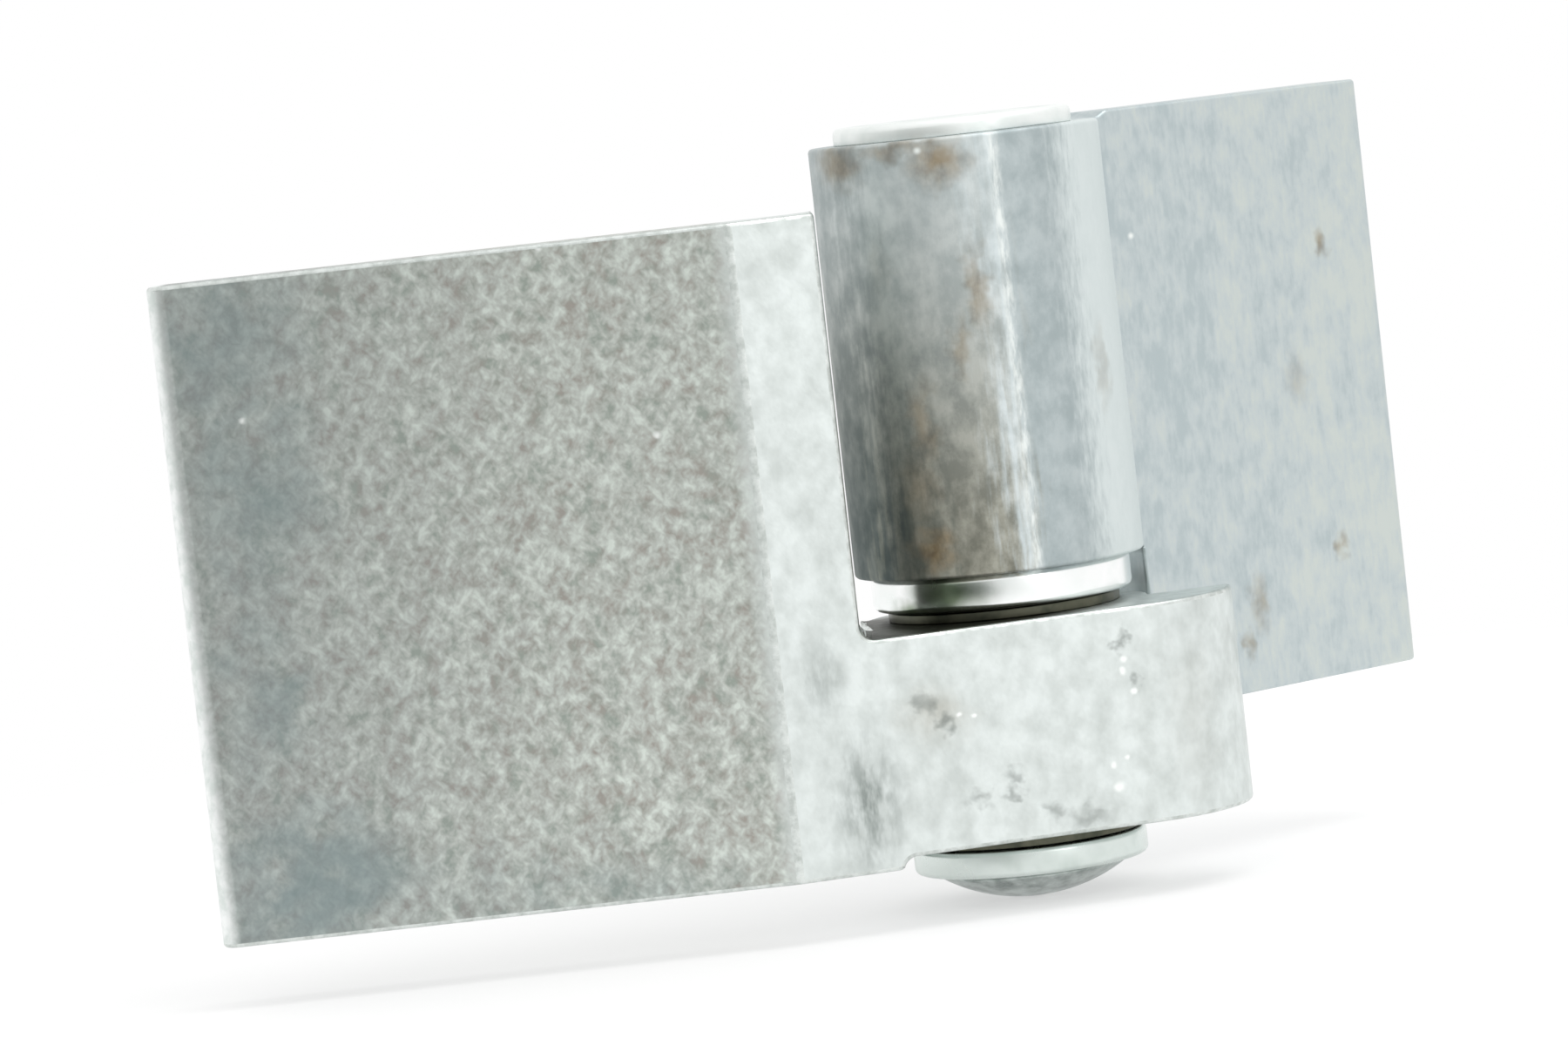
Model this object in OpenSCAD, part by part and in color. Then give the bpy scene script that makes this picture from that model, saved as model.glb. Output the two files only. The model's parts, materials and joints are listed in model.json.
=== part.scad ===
// Weld-on car door hinge. A pillar half and a door half are cut from rolled steel profile
// and turn on one headed pin, which is pressed into the door half's barrel, runs in two
// flanged bushes in the pillar half's knuckle, and is peened over a washer underneath.
// Millimetres, +Z up along the pin. The origin is the middle of the pillar leaf's weld face,
// and -Y points out of that face, away from the hinge.

/* [Pillar half] */
// Width of the flat weld face, from the free edge to the crease
leaf_w = 39; // [28:1:60]
// Height of the pillar leaf, sawn end to sawn end
leaf_h = 44.6; // [38:0.2:60]
// Thickness of the pillar leaf
leaf_t = 5; // [4:0.25:7]
// Radius rolled on the leaf's free edge
edge_r = 1.2; // [0.4:0.1:1.8]
// Sideways distance from the pin axis to the crease
crease_dist = 16; // [13:0.5:20]
// Angle that the face turns back by at the crease
bend = 13; // [8:1:20]
// Radius behind the leaf where it runs into the knuckle
neck_r = 5; // [3:0.5:8]
// Height of the lower knuckle, milled face to milled face
lower_h = 14.9; // [12:0.1:20]
// Depth that its lower face is milled back from the leaf's sawn end
foot_cut = 0.8; // [0.4:0.1:2]
// Sideways clearance from the washer to the step of that cut
foot_gap = 0.9; // [0.5:0.1:2]
// Sideways clearance from the door barrel to the notched leaf
notch_gap = 0.2; // [0.2:0.1:1.5]
// Corner radius that the cutter leaves in the notches
corner_r = 1; // [0.5:0.1:2]

/* [Stop lug] */
// Radius of the lug's nose
lug_r = 9; // [6:0.5:9.5]
// Sideways reach of the nose from the pin axis
lug_reach = 15.7; // [14:0.1:18]
// Angle of the door leaf when it meets the lug
stop_yaw = 12; // [6:1:20]
// Gap left at the stop face
stop_gap = 0.15; // [0.1:0.05:0.4]

/* [Door half] */
// Diameter of both knuckles about the pin
barrel_d = 20; // [18:0.5:24]
// Length of the upper barrel, milled face to milled face
upper_h = 29.7; // [26:0.1:36]
// Distance from the pin axis to the door leaf's free edge
door_len = 37.2; // [30:0.2:50]
// Height of the door leaf, sawn end to sawn end
door_h = 42.2; // [36:0.1:46]
// Depth that the barrel's top face is milled back from the leaf's sawn end
head_cut = 0.4; // [0.2:0.1:1]
// Thickness of the door leaf
door_t = 5; // [4:0.25:7]
// Radius where the door leaf meets the barrel
door_root_r = 2; // [1:0.25:3]
// Radius on the door leaf's free edge
door_edge_r = 0.7; // [0.3:0.1:1.5]
// Radial clearance from the lower knuckle to the notched door leaf
door_gap = 1.4; // [0.8:0.1:3]
// Angle of the door leaf in the stored pose, from the crosswise direction
rest_yaw = 40; // [30:1:60]

/* [Pin and washer] */
// Diameter of the pin
pin_d = 10; // [8:0.25:12]
// Radial overhang of the pin's head
head_over = 3.2; // [2:0.1:4]
// Thickness of the pin's head
head_h = 1.2; // [0.9:0.1:3]
// Radius on the rim of the pin's head
head_rim_r = 0.5; // [0.2:0.1:0.8]
// Radial overhang of the peened tail
tail_over = 1.9; // [0.6:0.1:2.1]
// Depth of the peened tail below the washer
tail_h = 2.3; // [1.2:0.1:3]
// Radial width of the washer around the pin
washer_over = 3.1; // [2.2:0.1:4]
// Thickness of the washer
washer_t = 1.9; // [1:0.1:3]

/* [Ring and bushes] */
// Thickness of the thrust ring between the knuckles
ring_h = 2.45; // [1.5:0.05:4]
// Step from the barrel's radius in to the ring's
ring_step = 1.05; // [0.5:0.05:2]
// Wall of each bush
bush_wall = 1; // [0.75:0.05:1.5]
// Radial width of each bush's flange outside the knuckle's bore
flange_over = 2; // [1:0.1:2.5]
// Thickness of each bush's flange
flange_t = 0.7; // [0.4:0.1:1]
// Grease space between the two bushes
grease_gap = 2.3; // [1:0.1:4]

/* [Fits] */
// Radial running clearance of the pin in the bushes
run_clear = 0.04; // [0.02:0.01:0.08]
// Radial clearance of the ring and the washer on the pin
loose_clear = 0.05; // [0.02:0.01:0.15]
// End play above the upper flange and below the lower one
end_play = 0.1; // [0.05:0.05:0.3]

/* [Hidden] */
$fn = 96;
far = 200;

// rounds cross the faces they run into by this much, so that the two meet at a clean edge
bite = 0.02;

// the sloped face just covers the knuckle's round, which sets the weld face's depth
barrel_r = barrel_d / 2;
cover_r = barrel_r + 0.05;
face_y = -(cover_r + crease_dist * sin(bend)) / cos(bend);
back_y = face_y + leaf_t;
free_x = -(crease_dist + leaf_w);
notch_x = -(barrel_r + notch_gap);

// centre of the round behind the leaf, between the leaf's back and the knuckle
neck_y = back_y + neck_r;
neck_d = barrel_r + neck_r - bite;
neck_x = -sqrt(pow(neck_d, 2) - pow(neck_y, 2));
neck_k = barrel_r / neck_d;

// centre of the lug's nose, and the point of the sloped face that its round leaves from
lug_x = lug_reach - lug_r;
lug_d = lug_r - bite;
lug_y = (lug_d - cover_r + lug_x * sin(bend)) / cos(bend);
lug_front = [lug_x + lug_d * sin(bend), lug_y - lug_d * cos(bend)];
stop_out = [sin(stop_yaw), -cos(stop_yaw)];
stop_off = door_t / 2 + stop_gap;
lug_mid = lug_front - stop_out * (lug_front * stop_out - stop_off) / 2;

// heights, from the sawn lower end of the pillar leaf
knuckle_top = foot_cut + lower_h;
flange_top = knuckle_top + flange_t;
ring_z = flange_top + end_play;
barrel_z = ring_z + ring_h;
barrel_top = barrel_z + upper_h;
door_z = barrel_top + head_cut - door_h;
washer_top = foot_cut - flange_t - end_play;
washer_z = washer_top - washer_t;

// round sizes
pin_r = pin_d / 2;
bush_r = pin_r + bush_wall;
bush_len = (lower_h - grease_gap) / 2;
flange_r = bush_r + flange_over;
washer_r = pin_r + washer_over;
foot_x = -(max(flange_r, washer_r) + foot_gap);
ring_r = barrel_r - ring_step;
tail_r = pin_r + tail_over;
tail_ball = (tail_r * tail_r + tail_h * tail_h) / (2 * tail_h);

// centre of the round at the door leaf's root, between the barrel and the leaf
root_off = door_t / 2 + door_root_r;
root_d = barrel_r + door_root_r - bite;
root_s = sqrt(pow(root_d, 2) - pow(root_off, 2));
root_k = barrel_r / root_d;
door_notch_s = barrel_r + door_gap;

// everything below is drawn about the pin axis and set into the shared frame here
module at_pin() {
    translate([crease_dist + leaf_w / 2, -face_y, -leaf_h / 2])
        children();
}

// free edge of a leaf: two rolled radii and the flat between them, reaching to x = 0
module rounded_edge(t, r) {
    translate([0, r])
        square([r, t - 2 * r]);
    translate([r, r])
        circle(r);
    translate([r, t - r])
        circle(r);
}

// the lug, cut off behind by the face that stops the door leaf
module lug_section() {
    intersection() {
        union() {
            polygon([lug_front, [lug_x, lug_y], [0, 0]]);
            translate([lug_x, lug_y])
                circle(lug_r);
        }
        rotate(stop_yaw)
            translate([-far, -stop_off - far])
                square([2 * far, far]);
    }
}

// the rolled profile of the pillar half: leaf, crease, neck, knuckle and lug
module pillar_section() {
    difference() {
        union() {
            polygon([
                [free_x + edge_r, face_y],
                [-crease_dist, face_y],
                lug_front,
                lug_mid,
                [0, 0],
                [neck_x * neck_k, neck_y * neck_k],
                [neck_x, back_y],
                [free_x + edge_r, back_y]
            ]);
            translate([free_x, face_y])
                rounded_edge(leaf_t, edge_r);
            circle(barrel_r);
            lug_section();
        }
        translate([neck_x, neck_y])
            circle(neck_r);
    }
}

// cutter for a notch that lies beyond +X and +Z of its rounded inner corner
module notch_cutter() {
    translate([corner_r, -far, 0])
        cube([far, 2 * far, far]);
    translate([0, -far, corner_r])
        cube([far, 2 * far, far]);
    translate([corner_r, 0, corner_r])
        rotate([90, 0, 0])
            cylinder(r = corner_r, h = 2 * far, center = true);
}

// cutter for the barrel's top: level out to x = 0, then sloping up to the leaf's sawn end
module head_cutter() {
    rotate([90, 0, 0])
        linear_extrude(2 * far, center = true)
            polygon([[-far, 0], [0, 0], [4 * head_cut, 2 * head_cut], [-far, 2 * head_cut]]);
}

module pillar_leaf() {
    color([0.58, 0.59, 0.60])
        at_pin()
            difference() {
                linear_extrude(leaf_h)
                    pillar_section();
                translate([notch_x, 0, knuckle_top])
                    notch_cutter();
                translate([foot_x, 0, foot_cut])
                    mirror([0, 0, 1])
                        notch_cutter();
                translate([0, 0, -1])
                    cylinder(r = bush_r, h = knuckle_top + 2);
            }
}

// the rolled profile of the door half, with its leaf along +X and a round on each side of its root
module door_section() {
    difference() {
        union() {
            circle(barrel_r);
            polygon([
                [root_s * root_k, -root_off * root_k],
                [root_s, -door_t / 2],
                [door_len - door_edge_r, -door_t / 2],
                [door_len - door_edge_r, door_t / 2],
                [root_s, door_t / 2],
                [root_s * root_k, root_off * root_k]
            ]);
            translate([door_len, door_t / 2])
                rotate(180)
                    rounded_edge(door_t, door_edge_r);
        }
        translate([root_s, root_off])
            circle(door_root_r);
        translate([root_s, -root_off])
            circle(door_root_r);
    }
}

module door_leaf() {
    color([0.66, 0.67, 0.68])
        at_pin()
            rotate(rest_yaw)
                difference() {
                    translate([0, 0, door_z])
                        linear_extrude(door_h)
                            door_section();
                    translate([door_notch_s, 0, barrel_z])
                        rotate([0, 180, 0])
                            notch_cutter();
                    translate([door_notch_s, 0, barrel_top])
                        head_cutter();
                    translate([0, 0, barrel_z - 1])
                        cylinder(r = pin_r, h = upper_h + 2);
                }
}

// head with a rounded rim, straight shank, and a tail peened to a low dome
module hinge_pin() {
    color([0.74, 0.75, 0.76])
        at_pin() {
            translate([0, 0, washer_z])
                cylinder(r = pin_r, h = barrel_top - washer_z);
            translate([0, 0, barrel_top])
                rotate_extrude() {
                    square([pin_r + head_over, head_h - head_rim_r]);
                    square([pin_r + head_over - head_rim_r, head_h]);
                    translate([pin_r + head_over - head_rim_r, head_h - head_rim_r])
                        circle(head_rim_r);
                }
            translate([0, 0, washer_z])
                rotate_extrude()
                    intersection() {
                        translate([0, tail_ball - tail_h])
                            circle(tail_ball);
                        translate([0, -tail_h])
                            square([tail_r, tail_h]);
                    }
        }
}

module thrust_ring() {
    color([0.80, 0.81, 0.82])
        at_pin()
            translate([0, 0, ring_z])
                difference() {
                    cylinder(r = ring_r, h = ring_h);
                    translate([0, 0, -1])
                        cylinder(r = pin_r + loose_clear, h = ring_h + 2);
                }
}

// flanged bush standing on its flange, with the sleeve pointing up
module bush() {
    difference() {
        union() {
            cylinder(r = flange_r, h = flange_t);
            cylinder(r = bush_r, h = flange_t + bush_len);
        }
        translate([0, 0, -1])
            cylinder(r = pin_r + run_clear, h = flange_t + bush_len + 2);
    }
}

module upper_bush() {
    color([0.46, 0.36, 0.22])
        at_pin()
            translate([0, 0, flange_top])
                rotate([180, 0, 0])
                    bush();
}

module lower_bush() {
    color([0.46, 0.36, 0.22])
        at_pin()
            translate([0, 0, foot_cut - flange_t])
                bush();
}

module rivet_washer() {
    color([0.78, 0.79, 0.80])
        at_pin()
            translate([0, 0, washer_z])
                difference() {
                    cylinder(r = washer_r, h = washer_t);
                    translate([0, 0, -1])
                        cylinder(r = pin_r + loose_clear, h = washer_t + 2);
                }
}

pillar_leaf();
door_leaf();
hinge_pin();
thrust_ring();
upper_bush();
lower_bush();
rivet_washer();
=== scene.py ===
"""Weld-on car door hinge: the finish of its pieces, the light around it and the camera.

Lengths in the classes are millimetres in the part's own frame, and angles are degrees.
The frame has +Z up along the pin, +X from the pillar leaf to the pin, and -Y out of the weld face.
"""

import json
import logging
import math
from collections.abc import Mapping, Sequence
from dataclasses import dataclass, field
from enum import Enum

import bmesh
import bpy
import numpy as np
from mathutils import Matrix, Vector


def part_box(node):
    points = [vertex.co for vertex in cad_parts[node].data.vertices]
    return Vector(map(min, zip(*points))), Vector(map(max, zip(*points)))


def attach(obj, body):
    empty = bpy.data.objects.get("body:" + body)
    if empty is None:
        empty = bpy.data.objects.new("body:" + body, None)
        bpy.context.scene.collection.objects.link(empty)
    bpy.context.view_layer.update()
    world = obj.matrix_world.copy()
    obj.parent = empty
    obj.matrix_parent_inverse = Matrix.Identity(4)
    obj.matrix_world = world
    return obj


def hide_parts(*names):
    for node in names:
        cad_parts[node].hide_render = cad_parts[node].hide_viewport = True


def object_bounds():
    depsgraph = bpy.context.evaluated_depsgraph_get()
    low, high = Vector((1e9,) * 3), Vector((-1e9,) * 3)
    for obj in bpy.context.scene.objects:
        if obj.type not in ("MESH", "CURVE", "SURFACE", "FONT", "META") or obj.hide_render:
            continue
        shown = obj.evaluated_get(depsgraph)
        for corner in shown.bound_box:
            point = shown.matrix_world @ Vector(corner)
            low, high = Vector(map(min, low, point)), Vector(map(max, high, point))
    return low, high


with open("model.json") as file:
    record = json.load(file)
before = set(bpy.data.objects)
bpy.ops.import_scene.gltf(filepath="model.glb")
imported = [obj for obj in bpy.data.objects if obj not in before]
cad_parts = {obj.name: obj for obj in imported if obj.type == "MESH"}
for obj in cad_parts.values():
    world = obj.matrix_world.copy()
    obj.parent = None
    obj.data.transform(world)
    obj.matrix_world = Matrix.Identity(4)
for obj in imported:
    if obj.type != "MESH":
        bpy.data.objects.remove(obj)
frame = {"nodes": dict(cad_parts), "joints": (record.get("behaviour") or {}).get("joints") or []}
cad_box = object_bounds()

LOG = logging.getLogger("hinge")
MM = 0.001
WHITE = "#FFFFFF"
Pair = tuple[float, float]
Point = tuple[float, float, float]
Socket = bpy.types.NodeSocket
NOISE, RAMP, RANGE = "ShaderNodeTexNoise", "ShaderNodeValToRGB", "ShaderNodeMapRange"
MATH, VECTOR, MIX = "ShaderNodeMath", "ShaderNodeVectorMath", "ShaderNodeMix"
COORDS, SPLIT, MAPPING = "ShaderNodeTexCoord", "ShaderNodeSeparateXYZ", "ShaderNodeMapping"
SHADER, BUMP, OUTPUT = "ShaderNodeBsdfPrincipled", "ShaderNodeBump", "ShaderNodeOutputMaterial"
# a colour mix node keeps its two colours in these inputs
MIX_A, MIX_B = 6, 7
# a noise lies mostly between these levels
MOSTLY = {"From Min": 0.3, "From Max": 0.7}


class Body(Enum):
    """The two halves that turn on each other."""

    PILLAR = "pillar_half"
    DOOR = "door_half"


class Slot(Enum):
    """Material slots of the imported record."""

    PILLAR = "pillar_steel"
    DOOR = "door_steel"
    PIN = "pin_steel"
    RING = "ring_steel"
    BUSH = "bush_bronze"
    WASHER = "washer_steel"


class Fringe(Enum):
    """How a lathe section ends: joined to itself, or closed on the axis at both ends."""

    LOOP = "loop"
    POLES = "poles"


# colour, scale and node helpers


def linear(code: str) -> tuple[float, float, float, float]:
    """Turn an sRGB hex colour into linear light.

    Args:
        code: six hex digits after a hash sign.

    Returns:
        Linear red, green, blue and an alpha of one.
    """
    share = np.array([int(code[i:i + 2], 16) for i in (1, 3, 5)]) / 255.0
    light = np.where(share <= 0.04045, share / 12.92, ((share + 0.055) / 1.055) ** 2.4)
    return (*light.tolist(), 1.0)


def per_metre(size_mm: float) -> float:
    """Give the texture scale at which one feature of a pattern spans this many millimetres."""
    return 1.0 / (size_mm * MM)


def metres(lengths: Sequence[float]) -> tuple[float, ...]:
    """Turn lengths in millimetres into metres."""
    return tuple(value * MM for value in lengths)


def add(
    tree: bpy.types.NodeTree,
    kind: str,
    sockets: Mapping[str | int, object] | None = None,
    pick: str | int = 0,
    stops: Sequence[tuple[float, str]] = (),
    **settings: object,
) -> Socket:
    """Add one node with its settings and links.

    Args:
        tree: node tree that takes the node.
        kind: the node's type name.
        sockets: input name or number, and the value to set or the output to link from.
        pick: name or number of the output that is wanted.
        stops: rising places and hex colours of a colour ramp, at least two.
        settings: properties of the node.

    Returns:
        The output picked, or the first enabled one where pick is 0.
    """
    node = tree.nodes.new(kind)
    for name, value in settings.items():
        setattr(node, name, value)
    for key, value in (sockets or {}).items():
        if isinstance(value, Socket):
            tree.links.new(value, node.inputs[key])
        else:
            node.inputs[key].default_value = value
    for number, (place, code) in enumerate(stops):
        ramp = node.color_ramp.elements
        point = ramp[number] if number < len(ramp) else ramp.new(place)
        point.position, point.color = place, linear(code)
    if pick == 0:
        shown = [output for output in node.outputs if output.enabled]
        return shown[0] if shown else None
    return node.outputs[pick]


def fresh_material(name: str) -> bpy.types.Material:
    """Make a material with an empty node tree."""
    material = bpy.data.materials.new(name)
    material.use_nodes = True
    material.node_tree.nodes.clear()
    return material


def placed(name: str, data: bpy.types.ID) -> bpy.types.Object:
    """Make an object of a mesh, lamp or camera and link it to the scene."""
    made = bpy.data.objects.new(name, data)
    bpy.context.scene.collection.objects.link(made)
    return made


# patterns and marks of bare steel


@dataclass(frozen=True)
class Mark:
    """A rust bloom, pit or smear: a soft ellipsoid on the surface.

    Attributes:
        at: centre in millimetres.
        reach: half sizes along X, Y and Z in millimetres.
        weight: how strongly its centre shows; above 1, more of it than the centre is full.
    """

    at: Point
    reach: Point
    weight: float = 1.0


def strayed(tree: bpy.types.NodeTree, place: Socket, tooth: float, *ragged: float) -> list[Socket]:
    """Let a place stray, so that the outlines of marks on it come out ragged.

    Args:
        tree: node tree that takes the nodes.
        place: output with the place on the piece, in metres.
        tooth: size of one stray of an outline, in millimetres.
        ragged: how far outlines stray, in millimetres.

    Returns:
        An output with the strayed place for each value of ragged.
    """
    noise = add(tree, NOISE, {"Vector": place, "Scale": per_metre(tooth), "Detail": 2.0}, pick="Color")
    centred = add(tree, VECTOR, {0: noise, 1: (0.5, 0.5, 0.5)}, operation="SUBTRACT")
    # the noise stays within a quarter of its middle
    steps = [(4.0 * MM * reach,) * 3 for reach in ragged]
    return [add(tree, VECTOR, {0: centred, 1: step, 2: place}, operation="MULTIPLY_ADD") for step in steps]


def marks_mask(tree: bpy.types.NodeTree, place: Socket, marks: Sequence[Mark]) -> Socket:
    """Cover a surface with marks, each full at its centre and gone at its reach.

    Args:
        tree: node tree that takes the nodes.
        place: output with the place on the piece, plain or strayed, in metres.
        marks: the marks.

    Returns:
        An output from 0, bare, to the weight of a mark at its centre.
    """
    total = None
    for mark in marks:
        grow = tuple(1.0 / (reach * MM) for reach in mark.reach)
        back = tuple(-at / reach for at, reach in zip(mark.at, mark.reach))
        spread = add(tree, VECTOR, {0: place, 1: grow, 2: back}, operation="MULTIPLY_ADD")
        far = add(tree, VECTOR, {0: spread}, pick="Value", operation="LENGTH")
        near = add(
            tree,
            RANGE,
            {"Value": far, "From Min": 1.0, "From Max": 0.0, "To Min": 0.0, "To Max": mark.weight},
            interpolation_type="SMOOTHSTEP",
        )
        total = near if total is None else add(tree, MATH, {0: total, 1: near}, operation="MAXIMUM")
    return total


def fleck_pattern(
    tree: bpy.types.NodeTree, place: Socket, size: Point, detail: float = 3.0, tilt: float = 0.0
) -> Socket:
    """Scatter soft flecks over a surface.

    Args:
        tree: node tree that takes the nodes.
        place: output with the place on the piece, in metres.
        size: size of a fleck along X, Y and Z, in millimetres.
        detail: how many finer layers are laid on it.
        tilt: degrees that the flecks lean to the side by.

    Returns:
        An output around 0.5, mostly between 0.3 and 0.7.
    """
    stretched = add(
        tree,
        MAPPING,
        {"Vector": place, "Rotation": (0.0, math.radians(tilt), 0.0), "Scale": metres(size)},
        vector_type="TEXTURE",
    )
    return add(tree, NOISE, {"Vector": stretched, "Scale": 1.0, "Detail": detail, "Roughness": 0.6})


# finishes


def metal_surface(
    made: bpy.types.Material,
    colour: Socket,
    metallic: Socket | float,
    dull: Socket,
    height: Socket,
    relief: Pair,
) -> bpy.types.Material:
    """Close a metal's node tree with its relief and its shader.

    Args:
        made: the material.
        colour: output of the colour.
        metallic: share that is bare metal, as an output or as one number for all of it.
        dull: output of the roughness.
        height: output of the relief.
        relief: strength of the relief, and its depth in millimetres.

    Returns:
        The same material.
    """
    tree = made.node_tree
    strength, depth = relief
    normal = add(tree, BUMP, {"Strength": strength, "Distance": depth * MM, "Height": height})
    surface = add(
        tree,
        SHADER,
        {"Base Color": colour, "Metallic": metallic, "Roughness": dull, "Normal": normal},
    )
    add(tree, OUTPUT, {"Surface": surface})
    return made


@dataclass(frozen=True)
class PickledSteel:
    """Hot-rolled mild steel, pickled: grey, with short flecks where the scale let go.

    The leaf is flecked, with smoother blue-grey scale towards its free edge and a painted highlight
    on its rolled edge. The knuckle is paler and calm, with a few pits, and painted shade darkens its
    milled top and the notch's wall.

    Sizes and places are millimetres. Levels are heights of a pattern between which a tone changes.
    A stray is the size of one tooth of an outline, and then how far outlines stray.
    """

    dark: str = "#A6A29B"
    green: str = "#9FA79F"
    middle: str = "#C0C4BE"
    light: str = "#DDE4DD"
    dull: str = "#868D8F"
    blue_scale: str = "#879697"
    # painted highlight: the rolled edge is painted nearly white where it turns to the light
    rolled_edge: str = "#FAFCFB"
    rolled_dark: str = "#E4EAE7"
    calm_dark: str = "#CAD0CD"
    calm_light: str = "#E1E7E5"
    scab: str = "#7F8783"
    stain: str = "#A79C86"
    pit: str = "#777D79"
    speck: str = "#FBFDFB"
    # painted shade for the knuckle's milled top and the notch's wall
    grease: str = "#484A41"
    fleck_mm: Point = (0.85, 0.85, 1.2)
    fleck_lean: Pair = (32.0, -38.0)
    fleck_detail: float = 2.5
    fleck_levels: Point = (0.56, 0.71, 0.87)
    drift_mm: Point = (3.0, 3.0, 3.6)
    drift_share: float = 0.3
    cloud_mm: Point = (2.4, 2.4, 2.8)
    cloud_levels: Pair = (0.42, 0.58)
    calm_mm: Point = (1.8, 1.8, 2.2)
    calm_levels: Pair = (0.3, 0.66)
    stroke_mm: Point = (0.9, 0.9, 2.4)
    stroke_levels: Pair = (0.4, 0.62)
    scab_least: float = 0.3
    gloss_levels: Pair = (0.5, 0.95)
    roughness: Pair = (0.5, 0.38)
    relief: Pair = (0.6, 0.045)
    crease: Pair = (18.1, 19.7)
    free_x: float = -19.5
    dull_from: float = 6.0
    dull_wander: float = 5.0
    dull_share: float = 0.45
    rolled: Pair = (-18.2, -18.85)
    rolled_levels: Pair = (0.56, 0.8)
    rolled_share: float = 0.95
    patch_stray: Pair = (4.0, 2.2)
    stain_stray: Point = (2.0, 0.8, 0.5)
    pit_stray: Point = (0.9, 0.6, 0.1)
    level_from: float = 0.7
    wall_from: float = 0.9
    wall_foot: float = -6.5
    wall_film: Pair = (-3.6, 18.4)
    wall_share: float = 0.9
    pits: tuple[Mark, ...] = (
        Mark((29.1, 2.2, -11.5), (1.1, 2.5, 1.3), 0.60),
        Mark((30.4, 2.5, -12.8), (1.0, 2.5, 0.9), 0.65),
        Mark((42.7, 5.4, -9.0), (0.7, 2.5, 1.2), 0.65),
        Mark((34.7, 3.5, -17.0), (0.9, 2.5, 1.0), 0.55),
        Mark((34.4, 3.5, -18.1), (0.9, 2.5, 0.8), 0.55),
        Mark((32.2, 2.9, -18.2), (1.1, 2.5, 0.9), 0.45),
        Mark((37.1, 4.1, -19.6), (1.2, 2.5, 1.0), 0.50),
        Mark((39.3, 4.6, -20.4), (2.4, 2.5, 1.1), 0.50),
        Mark((43.5, 5.5, -11.8), (0.6, 2.5, 0.7), 0.50),
    )
    stains: tuple[Mark, ...] = (
        Mark((29.6, 2.4, -12.2), (3.6, 3.0, 3.2), 0.3),
        Mark((47.8, 6.6, -15.0), (3.6, 3.0, 7.5), 0.1),
    )
    scabs: tuple[Mark, ...] = (
        Mark((24.6, 1.2, -17.6), (3.8, 3.0, 7.5), 0.85),
        Mark((22.4, 0.6, -8.7), (2.6, 2.0, 4.2), 0.5),
        Mark((29.4, 2.4, -12.0), (3.6, 2.5, 3.6), 0.2),
        Mark((48.0, 6.6, -14.6), (3.6, 4.0, 7.5), 0.08),
    )
    # where painted shade lies over the knuckle's milled top
    films: tuple[Mark, ...] = (Mark((30.0, 9.0, -6.6), (13.0, 13.0, 3.0), 3.0),)
    scale_patches: tuple[Mark, ...] = (
        Mark((-14.5, 0.0, 18.5), (8.0, 3.0, 8.0), 0.55),
        Mark((-13.8, 0.0, 8.0), (7.0, 3.0, 10.0), 0.6),
        Mark((-14.8, 0.0, -5.0), (4.5, 3.0, 9.0), 0.55),
        Mark((-13.0, 0.0, -18.8), (11.0, 3.0, 8.0), 0.8),
        Mark((5.0, 0.0, -22.3), (17.0, 3.0, 7.0), 0.4),
    )
    specks: tuple[Mark, ...] = (
        Mark((-14.0, 0.0, 12.8), (0.35, 1.0, 0.35), 0.8),
        Mark((13.3, 0.0, 8.8), (0.4, 1.0, 0.4), 0.9),
        Mark((6.8, 0.0, 22.0), (0.35, 1.0, 0.3), 0.9),
        Mark((42.9, 5.4, -10.1), (0.35, 1.0, 0.35)),
        Mark((42.7, 5.4, -10.9), (0.3, 1.0, 0.4)),
        Mark((43.3, 5.5, -12.4), (0.35, 1.0, 0.3)),
        Mark((41.4, 5.1, -17.2), (0.35, 1.0, 0.35)),
        Mark((42.4, 5.3, -16.8), (0.3, 1.0, 0.3)),
        Mark((41.6, 5.1, -18.7), (0.55, 1.0, 0.5)),
        Mark((31.3, 2.7, -12.3), (0.3, 1.0, 0.25)),
        Mark((32.3, 3.0, -12.5), (0.3, 1.0, 0.25)),
    )

    def leaf_colour(
        self, tree: bpy.types.NodeTree, place: Socket, across: Socket, flecks: Socket
    ) -> Socket:
        """Colour the leaf: flecks, blue-grey scale towards the free edge, and a painted highlight on the
        rolled edge.

        Args:
            tree: node tree that takes the nodes.
            place: output with the place on the piece, in metres.
            across: output with the place along X, in metres.
            flecks: output of the flecks.

        Returns:
            The colour.
        """
        clouds = fleck_pattern(tree, place, self.cloud_mm)
        low, high = self.cloud_levels
        tint = add(tree, RANGE, {"Value": clouds, "From Min": low, "From Max": high})
        rows = ((dark, self.middle, self.light) for dark in (self.dark, self.green))
        brown, green = (
            add(tree, RAMP, {0: flecks}, stops=tuple(zip(self.fleck_levels, row))) for row in rows
        )
        colour = add(tree, MIX, {0: tint, MIX_A: brown, MIX_B: green}, data_type="RGBA")
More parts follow.
